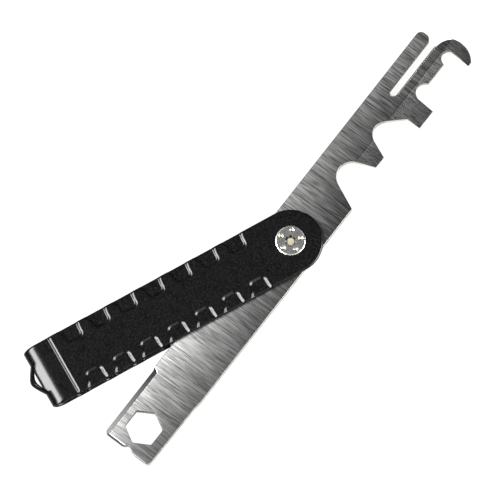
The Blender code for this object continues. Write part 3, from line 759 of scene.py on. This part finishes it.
def build_nut():
    """Rings from the floor of the blind bore, over the barrel and the head, to the middle of the back."""
    mesher = Mesher()
    back = nut_low.z - MID_Z
    end = nut_high.z - MID_Z
    level = back + RIM_HEIGHT
    rings = [circle(mesher, BARREL_BORE_RADIUS, BORE_FLOOR_Z), circle(mesher, BARREL_BORE_RADIUS, end)]
    rings += [circle(mesher, BARREL_RADIUS, end), circle(mesher, BARREL_RADIUS, back + HEAD_THICK)]
    centres = [(0.0, -PIN_HOLE_CIRCLE), (0.0, PIN_HOLE_CIRCLE)]
    height = pits(centres, PIN_HOLE_RADIUS, -PIN_HOLE_DEPTH, level, round_bottom=False)
    rings += face_rings(mesher, height, back, -1)
    for share in NUT_INNER_RINGS:
        rings.append(circle(mesher, FACE_INNER_RADIUS * share, height))
    join_rings(mesher, rings)
    mesher.face(*rings[0])
    mesher.face(*rings[-1])
    return mesher.finish("pivot_nut_fine")


def build_washer(name, low, high, radius, wave=0.0):
    """A washer with cut corners. A wave lifts and lowers it WAVE_COUNT times round."""
    mesher = Mesher()
    cut = WASHER_ROUND
    bore = WASHER_BORE
    profile = [(bore + cut, low), (radius - cut, low), (radius, low + cut), (radius, high - cut)]
    profile += [(radius - cut, high), (bore + cut, high), (bore, high - cut), (bore, low + cut)]
    join_rings(mesher, [circle(mesher, reach, z, wave) for reach, z in profile], closed=True)
    return mesher.finish(name)


# ---------------------------------------------------------------- materials

BEVEL_SAMPLES = 6
WALL_TILT = (0.68, 0.62)          # less upright than this, a surface is a side wall
ROUND_TILT = (0.70, 0.715)        # the rounded edges of the bar, which get a painted highlight
KNIFE_TILT = (0.79, 0.90)         # the bevelled long edge of the spanner half
BEVEL_TILT = (0.915, 0.94)        # the bevels beside the slot, painted dark as shade
TILT_SOFTNESS = 0.01
STREAK_RANGE = (0.36, 0.64)       # where the noise of the streaks mostly lies
NOISE_RANGE = (0.3, 0.7)          # and that of any other noise
GRIND_TONE = 0.34                 # the ground teeth, next to the face above them
# painted shade: the bar's edges darkened into thin dark outlines
EDGE_SHADE_TONE = 0.45
STEEL_TINT = (1.0, 0.998, 0.985)
WALL_COLOUR = (0.34, 0.33, 0.28)
# painted shade on the bevels
BEVEL_SHADE_COLOUR = (0.09, 0.09, 0.088)
# painted highlight on the rounded edges
ROUND_HIGHLIGHT_COLOUR = (0.95, 0.95, 0.94)
COATING_COLOUR = (0.0001, 0.0001, 0.0002)
SPECKLE_COLOUR = (0.0080, 0.0080, 0.0085)
CLOUD_COLOUR = (0.0032, 0.0032, 0.0035)
WEAR_COLOUR = (0.07, 0.07, 0.073)
# painted highlight on the heads' rims
RIM_HIGHLIGHT_COLOUR = (0.86, 0.86, 0.85)
# painted highlight on the pits' lips
LIP_HIGHLIGHT_COLOUR = (0.80, 0.79, 0.76)
SOCKET_FLOOR_COLOUR = (0.50, 0.45, 0.34)
# painted shade on the socket's walls
SOCKET_WALL_SHADE_COLOUR = (0.06, 0.055, 0.045)
DIMPLE_COLOUR = (0.26, 0.235, 0.18)


class Shades:
    """Short ways to wire the nodes of one material. Positions are in millimetres in the piece's frame."""

    def __init__(self, name, metallic, turn=0.0):
        self.material = bpy.data.materials.new(name)
        self.material.use_nodes = True
        self.nodes = self.material.node_tree.nodes
        self.links = self.material.node_tree.links
        self.shader = self.nodes["Principled BSDF"]
        self.shader.inputs["Metallic"].default_value = metallic
        place = self.nodes.new("ShaderNodeTexCoord").outputs["Object"]
        rotate = self.nodes.new("ShaderNodeVectorRotate")
        rotate.rotation_type = "Z_AXIS"
        rotate.inputs["Angle"].default_value = -turn
        self.links.new(place, rotate.inputs["Vector"])
        self.place = self.vector_math("SCALE", rotate.outputs[0], scale=1 / MM)
        split = self.nodes.new("ShaderNodeSeparateXYZ")
        self.links.new(self.place, split.inputs[0])
        self.x, self.y, self.z = split.outputs

    def put(self, socket, value):
        if isinstance(value, bpy.types.NodeSocket):
            self.links.new(value, socket)
        else:
            socket.default_value = value

    def vector_math(self, operation, a, b=None, scale=None):
        node = self.nodes.new("ShaderNodeVectorMath")
        node.operation = operation
        self.put(node.inputs[0], a)
        if b is not None:
            self.put(node.inputs[1], b)
        if scale is not None:
            self.put(node.inputs["Scale"], scale)
        return node.outputs[0]

    def math(self, operation, a, b=0.0):
        node = self.nodes.new("ShaderNodeMath")
        node.operation = operation
        self.put(node.inputs[0], a)
        self.put(node.inputs[1], b)
        return node.outputs[0]

    def vector(self, x, y, z):
        node = self.nodes.new("ShaderNodeCombineXYZ")
        for socket, value in zip(node.inputs, (x, y, z)):
            self.put(socket, value)
        return node.outputs[0]

    def noise(self, scale, detail, place=None):
        node = self.nodes.new("ShaderNodeTexNoise")
        self.put(node.inputs["Vector"], self.place if place is None else place)
        node.inputs["Scale"].default_value = scale
        node.inputs["Detail"].default_value = detail
        return node.outputs["Fac"]

    def streaks(self, lean, across, along, detail):
        """Noise drawn out along y. Across and along are its scales, per millimetre."""
        lean = self.math("MULTIPLY", lean, across)
        return self.noise(1.0, detail, self.vector(lean, self.math("MULTIPLY", self.y, along), self.z))

    def spread(self, value, low, high, to_low=0.0, to_high=1.0):
        """Maps a range of the value to another range, and holds it at the ends."""
        node = self.nodes.new("ShaderNodeMapRange")
        for socket, number in zip(node.inputs, (value, low, high, to_low, to_high)):
            self.put(socket, number)
        return node.outputs[0]

    def mix(self, factor, a, b):
        node = self.nodes.new("ShaderNodeMix")
        node.data_type = "RGBA"
        self.put(node.inputs["Factor"], factor)
        for name, value in (("A", a), ("B", b)):
            socket = [s for s in node.inputs if s.name == name and s.type == "RGBA"][0]
            self.put(socket, value if isinstance(value, bpy.types.NodeSocket) else (*value, 1.0))
        return [s for s in node.outputs if s.type == "RGBA"][0]

    def grey(self, value):
        return self.vector(value, value, value)

    def upright(self):
        """1 where the surface faces up or down, 0 on side walls."""
        split = self.nodes.new("ShaderNodeSeparateXYZ")
        self.links.new(self.nodes.new("ShaderNodeNewGeometry").outputs["True Normal"], split.inputs[0])
        return self.math("ABSOLUTE", split.outputs[2])

    def between(self, value, low, high, soft):
        """1 where the value lies between low and high, with soft ends."""
        above = self.spread(value, low - soft, low)
        return self.math("MULTIPLY", above, self.spread(value, high + soft, high))

    def edges(self, radius):
        """1 on sharp edges, 0 on flat ground."""
        bevel = self.nodes.new("ShaderNodeBevel")
        bevel.samples = BEVEL_SAMPLES
        bevel.inputs["Radius"].default_value = radius
        geometry = self.nodes.new("ShaderNodeNewGeometry")
        same = self.vector_math("DOT_PRODUCT", bevel.outputs[0], geometry.outputs["Normal"])
        return self.spread(same.node.outputs["Value"], 0.995, 0.90)

    def bump(self, height, distance, strength, under=None):
        node = self.nodes.new("ShaderNodeBump")
        node.inputs["Strength"].default_value = strength
        node.inputs["Distance"].default_value = distance
        self.put(node.inputs["Height"], height)
        if under is not None:
            self.put(node.inputs["Normal"], under)
        return node.outputs["Normal"]

    def finish(self, colour, roughness, normal=None):
        self.put(self.shader.inputs["Base Color"], colour)
        self.put(self.shader.inputs["Roughness"], roughness)
        if normal is not None:
            self.put(self.shader.inputs["Normal"], normal)
        return self.material


def black_coating():
    """Semi-gloss black with pale speckles, an uneven skin and faintly worn edges."""
    s = Shades("black_coating_look", 0.0)
    s.put(s.shader.inputs["Specular IOR Level"], s.spread(s.upright(), 0.30, 0.85, 0.08, 0.24))
    speckle = s.noise(1.9, 3.0)
    cloud = s.noise(0.25, 4.0)
    peel = s.noise(2.2, 2.0)
    wear = s.math("MULTIPLY", s.edges(0.25 * MM), s.spread(s.noise(0.9, 4.0), 0.50, 0.68))
    base = s.mix(s.spread(speckle, 0.45, 0.75), COATING_COLOUR, SPECKLE_COLOUR)
    base = s.mix(s.spread(cloud, 0.35, 0.70, 0.0, 0.30), base, CLOUD_COLOUR)
    colour = s.mix(s.math("MULTIPLY", wear, 0.25), base, WEAR_COLOUR)
    roughness = s.spread(cloud, *NOISE_RANGE, 0.165, 0.185)
    roughness = s.math("ADD", roughness, s.spread(speckle, 0.4, 0.8, 0.0, 0.03))
    normal = s.bump(peel, 0.01 * MM, 0.3)
    return s.finish(colour, roughness, s.bump(speckle, 0.004 * MM, 0.3, normal))


def brushed_stainless():
    """Steel ground across its length. Teeth, bevels, rounded edges and side walls have their own tones."""
    s = Shades("brushed_stainless_look", 1.0, BAR_REST_ANGLE)
    bend = s.spread(s.noise(0.05, 1.0), *NOISE_RANGE, -0.10, 0.10)
    lean = s.math("ADD", s.math("ADD", s.x, s.math("MULTIPLY", s.y, 0.015)), bend)
    wide = s.streaks(lean, 0.55, 0.06, 2.0)
    lines = s.streaks(lean, 2.8, 0.09, 2.0)
    fine = s.streaks(lean, 6.5, 0.20, 3.0)
    streak = s.math("ADD", s.math("MULTIPLY", lines, 0.5), s.math("MULTIPLY", fine, 0.5))
    ground = s.math("MULTIPLY", s.spread(s.y, GRIND_Y / MM + 0.35, GRIND_Y / MM + 0.1),
                    s.spread(s.x, NOTCH_1_X / MM, NOTCH_1_X / MM + 0.1))

    # Painted light and shade: the face's tone rises with y. Along the bar it mostly falls, and rises a
    # little before the hook.
    shade = s.math("POWER", 1.072, s.y)
    along = s.math("MULTIPLY", s.spread(s.x, -95.0, -60.0, 1.0, 1.15), s.spread(s.x, -70.0, 50.0, 1.0, 0.34))
    along = s.math("MULTIPLY", along, s.spread(s.x, 55.0, 85.0, 1.0, 1.2))
    along = s.math("MULTIPLY", along, s.spread(s.x, 97.0, 105.0, 1.0, 0.58))
    shade = s.math("MULTIPLY", s.math("MULTIPLY", shade, along), 0.26)
    faint = s.spread(s.x, -20.0, 60.0, 0.64, 0.40)
    strong = s.spread(s.x, -20.0, 60.0, 1.36, 1.65)
    shade = s.math("MULTIPLY", shade, s.spread(streak, *STREAK_RANGE, faint, strong))
    shade = s.math("MULTIPLY", shade, s.spread(wide, *NOISE_RANGE, 0.92, 1.08))
    shade = s.math("MULTIPLY", shade, s.spread(ground, 0.0, 1.0, 1.0, GRIND_TONE))
    # Painted shade: darker along the bar's edges, as thin dark outlines.
    shade = s.math("MULTIPLY", shade, s.spread(s.edges(0.3 * MM), 0.0, 1.0, 1.0, EDGE_SHADE_TONE))
    face = s.vector_math("MULTIPLY", s.grey(shade), STEEL_TINT)

    # Side walls are painted dark as shade in the hexagon hole and at the spanner's end, and are warm grey
    # elsewhere.
    upright = s.upright()
    spanner = s.math("MULTIPLY", s.spread(s.x, -60.0, -70.0), s.spread(s.y, -10.0, -9.0))
    painted_shade_wall = s.grey(s.spread(s.x, -106.5, -105.5, 0.06, 0.004))
    wall = s.mix(spanner, WALL_COLOUR, painted_shade_wall)
    colour = s.mix(s.spread(upright, *WALL_TILT), face, wall)
    # Painted shade: these bevels are made near black.
    colour = s.mix(s.between(upright, *BEVEL_TILT, TILT_SOFTNESS), colour, BEVEL_SHADE_COLOUR)
    # Painted shade: the knife bevel is darker than the face, and darker still away from the spanner's end.
    knife = s.between(upright, *KNIFE_TILT, TILT_SOFTNESS)
    colour = s.mix(knife, colour, s.grey(s.spread(s.x, -106.0, -78.0, 0.36, 0.06)))
    # Painted highlight: the rounded edges made near white.
    colour = s.mix(s.between(upright, *ROUND_TILT, 1.5 * TILT_SOFTNESS), colour, ROUND_HIGHLIGHT_COLOUR)
    roughness = s.math("ADD", s.spread(streak, *STREAK_RANGE, 0.25, 0.33), s.math("MULTIPLY", knife, 0.25))
    height = s.math("MULTIPLY", streak, s.spread(ground, 0.0, 1.0, 1.0, 0.5))
    return s.finish(colour, roughness, s.bump(height, 0.03 * MM, 0.4))


def satin_steel(name, level):
    """Turned steel with a painted highlight on its rim. What lies well below the given level is a pit with a
    painted highlight on its lip and painted shade on its socket's walls.
    """
    s = Shades(name, 1.0)
    reach = s.math("SQRT", s.math("ADD", s.math("MULTIPLY", s.x, s.x), s.math("MULTIPLY", s.y, s.y)))
    rim = s.spread(reach, (HEAD_RADIUS - HEAD_CHAMFER - RIM_WIDTH) / MM, (HEAD_RADIUS - HEAD_CHAMFER) / MM)
    height = s.math("ABSOLUTE", s.z)
    sunk = s.spread(height, level / MM - 0.30, level / MM - 0.36)
    lip = s.between(height, level / MM - 0.32, level / MM - 0.13, 0.03)
    grain = s.noise(3.5, 4.0)
    rings = s.noise(1.0, 2.0, s.vector(s.math("MULTIPLY", reach, 6.0), 0.0, 0.0))
    shade = s.spread(grain, *NOISE_RANGE, 0.10, 0.17)
    shade = s.math("MULTIPLY", shade, s.spread(rings, *NOISE_RANGE, 0.92, 1.08))
    inside = s.math("SUBTRACT", 1.0, rim)
    # Painted highlight on the rim.
    colour = s.mix(rim, s.grey(shade), RIM_HIGHLIGHT_COLOUR)
    # Painted highlight on the pits' lips.
    colour = s.mix(s.math("MULTIPLY", lip, inside), colour, LIP_HIGHLIGHT_COLOUR)
    # Painted shade on the socket's walls.
    pit = s.mix(s.spread(reach, 1.4, 1.7), SOCKET_FLOOR_COLOUR, SOCKET_WALL_SHADE_COLOUR)
    pit = s.mix(s.spread(reach, 2.9, 3.2), pit, DIMPLE_COLOUR)
    colour = s.mix(s.math("MULTIPLY", sunk, inside), colour, pit)
    roughness = s.math("SUBTRACT", s.spread(grain, *NOISE_RANGE, 0.30, 0.40), s.math("MULTIPLY", rim, 0.10))
    return s.finish(colour, roughness, s.bump(grain, 0.006 * MM, 0.4))


def plain_washer(name, colour, darker):
    """Metal with soft blotches of a darker tone and a fine grain."""
    s = Shades(name, 1.0)
    blotch = s.noise(0.8, 4.0)
    grain = s.noise(5.0, 3.0)
    colour = s.mix(s.spread(blotch, 0.35, 0.7), colour, darker)
    return s.finish(colour, s.spread(grain, *NOISE_RANGE, 0.3, 0.45), s.bump(grain, 0.004 * MM, 0.4))


def floor_material():
    """Seen straight on the floor is pale. What it lends to reflections is a little darker."""
    s = Shades("pale_floor", 0.0)
    cloud = s.noise(0.004, 2.0)
    seen = s.nodes.new("ShaderNodeLightPath").outputs["Is Camera Ray"]
    pale = s.mix(s.spread(cloud, *NOISE_RANGE), (0.06, 0.06, 0.06), (0.08, 0.08, 0.08))
    s.shader.inputs["Emission Color"].default_value = (1.0, 1.0, 1.0, 1.0)
    s.put(s.shader.inputs["Emission Strength"], s.math("MULTIPLY", seen, FLOOR_GLOW))
    return s.finish(s.mix(seen, (0.45, 0.45, 0.45), pale), FLOOR_ROUGHNESS)


# ---------------------------------------------------------------- stage

def view_axes():
    """Right, up and backward directions of the camera."""
    right = Vector((cos(VIEW_TURN), -sin(VIEW_TURN), 0))
    level = Vector((sin(VIEW_TURN), cos(VIEW_TURN), 0))
    back = -level * sin(VIEW_TILT) + Vector((0, 0, cos(VIEW_TILT)))
    up = level * cos(VIEW_TILT) + Vector((0, 0, sin(VIEW_TILT)))
    return right, up, back


def aim(item, place, right, up, back):
    """Put a camera or a light at a place, looking away from the backward direction."""
    item.matrix_world = Matrix.Translation(place) @ Matrix((right, up, back)).transposed().to_4x4()


def add_camera():
    """A long lens far away. Gives the point that it looks at."""
    right, up, back = view_axes()
    camera = bpy.data.cameras.new("camera")
    camera.sensor_width = SENSOR
    camera.lens = SENSOR * VIEW_DISTANCE / VIEW_WIDTH
    camera.clip_end = 2 * VIEW_DISTANCE
    item = bpy.data.objects.new("camera", camera)
    bpy.context.scene.collection.objects.link(item)
    target = Vector((0, 0, screw_high.z)) + right * AIM_RIGHT + up * AIM_UP
    aim(item, target + back * VIEW_DISTANCE, right, up, back)
    bpy.context.scene.camera = item
    return target


def add_softbox(name, target, side, lift, distance, size, power):
    """A soft light that lies the given degrees to the side of the camera's axis and above it."""
    side, lift = radians(side), radians(lift)
    right, up, back = view_axes()
    direction = back * cos(side) * cos(lift) + right * sin(side) * cos(lift) + up * sin(lift)
    light = bpy.data.lights.new(name, "AREA")
    light.shape = "RECTANGLE"
    light.size, light.size_y = size
    light.energy = power
    item = bpy.data.objects.new(name, light)
    bpy.context.scene.collection.objects.link(item)
    across = up.cross(direction).normalized()
    aim(item, target + direction * distance, across, direction.cross(across), direction)


def add_world():
    world = bpy.data.worlds.new("studio")
    world.use_nodes = True
    background = world.node_tree.nodes["Background"]
    background.inputs["Color"].default_value = (1.0, 1.0, 1.0, 1.0)
    background.inputs["Strength"].default_value = WORLD_LEVEL
    bpy.context.scene.world = world


def add_floor():
    mesh = bpy.data.meshes.new("floor")
    half = FLOOR_SIZE / 2
    corners = [(-half, -half, 0), (half, -half, 0), (half, half, 0), (-half, half, 0)]
    mesh.from_pydata(corners, [], [(0, 1, 2, 3)])
    mesh.materials.append(floor_material())
    floor = bpy.data.objects.new("floor", mesh)
    floor.location.z = nut_low.z
    bpy.context.scene.collection.objects.link(floor)


def dress(piece, material, node, body):
    """Give a fine piece its material, and let it stand for its CAD node on that node's body."""
    piece.data.materials.append(material)
    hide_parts(node)
    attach(piece, body)


screw_material = satin_steel("satin_screw_look", screw_high.z - MID_Z)
nut_material = satin_steel("satin_nut_look", MID_Z - nut_low.z)
bronze = plain_washer("bronze_look", (0.50, 0.36, 0.19), (0.36, 0.25, 0.13))
spring = plain_washer("spring_steel_look", (0.32, 0.32, 0.32), (0.24, 0.24, 0.25))
dress(build_strap(), black_coating(), "handle_strap", "handle")
dress(build_bar(), brushed_stainless(), "tool_bar", "bar")
dress(build_screw(), screw_material, "pivot_screw", "handle")
dress(build_nut(), nut_material, "pivot_nut", "handle")
front = build_washer("front_washer_fine", washer_low.z - MID_Z, washer_high.z - MID_Z, washer_high.x)
dress(front, bronze, "front_washer", "handle")
wave_bottom = wave_low.z - MID_Z + WAVE_HEIGHT
wave_top = wave_high.z - MID_Z - WAVE_HEIGHT
wave = build_washer("wave_washer_fine", wave_bottom, wave_top, wave_high.x, WAVE_HEIGHT)
dress(wave, spring, "wave_washer", "handle")

add_floor()
aim_point = add_camera()
add_world()
for name, settings in SOFTBOXES.items():
    add_softbox(name, aim_point, *settings)
bpy.context.scene.view_settings.view_transform = "Standard"
